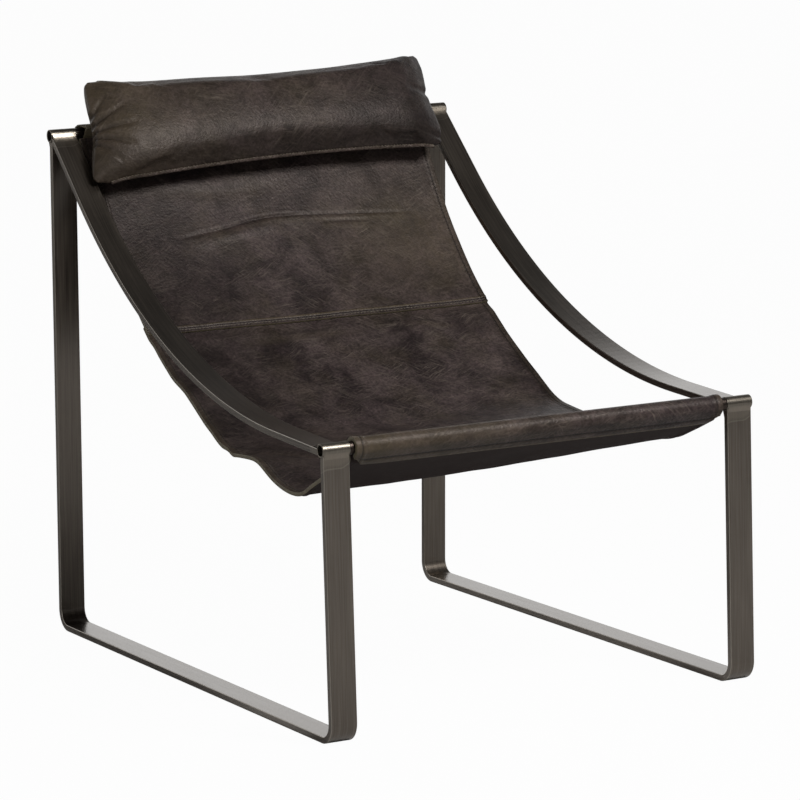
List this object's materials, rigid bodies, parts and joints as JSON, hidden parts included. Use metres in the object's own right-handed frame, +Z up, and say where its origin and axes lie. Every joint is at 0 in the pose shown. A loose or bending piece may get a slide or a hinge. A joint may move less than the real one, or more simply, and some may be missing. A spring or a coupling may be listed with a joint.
{
  "type": "sling lounge chair",
  "caption": "Low lounge chair with a leather sling hung between cross rods in bent flat-bar steel side frames, with a leather head pillow that swings over the rear rod.",
  "frame": {"origin": "on the floor, at the centre of the chair's outline", "axes": "+Z up, +X to the chair's right as seen from the front, front of the seat towards -Y"},
  "size_m": [0.657, 0.8776, 0.8168],
  "materials": {
    "bar_steel": "satin gunmetal, brushed along the bar",
    "ground_steel": "ground bright, brushed round the barrel",
    "fastener_steel": "zinc plated",
    "leather": "dark brown waxed saddle leather with pull-up marks",
    "filling": "undyed fibre filling"
  },
  "bodies": {
    "chair_frame": {"left_base_loop": "bar_steel", "left_arm_bar": "bar_steel", "left_front_barrel": "ground_steel", "left_front_washer": "fastener_steel", "left_front_bolt": "fastener_steel", "left_rear_barrel": "ground_steel", "left_rear_washer": "fastener_steel", "left_rear_bolt": "fastener_steel", "right_base_loop": "bar_steel", "right_arm_bar": "bar_steel", "right_front_barrel": "ground_steel", "right_front_washer": "fastener_steel", "right_front_bolt": "fastener_steel", "right_rear_barrel": "ground_steel", "right_rear_washer": "fastener_steel", "right_rear_bolt": "fastener_steel", "front_rod": "bar_steel", "front_rod_left_plug": "fastener_steel", "front_rod_right_plug": "fastener_steel", "rear_rod": "bar_steel", "rear_rod_left_plug": "fastener_steel", "rear_rod_right_plug": "fastener_steel", "sling_back_panel": "leather", "sling_seat_panel": "leather"},
    "head_pillow": {"pillow_cover": "leather", "pillow_filling": "filling", "pillow_welt": "leather", "pillow_left_strap": "leather", "pillow_right_strap": "leather"}
  },
  "joints": [
    {"name": "pillow_swing", "type": "hinge", "parent": "chair_frame", "child": "head_pillow", "pos_m": [0, 0.40223, 0.736], "axis": [-1, 0, 0], "range_deg": [0, 180]}
  ]
}
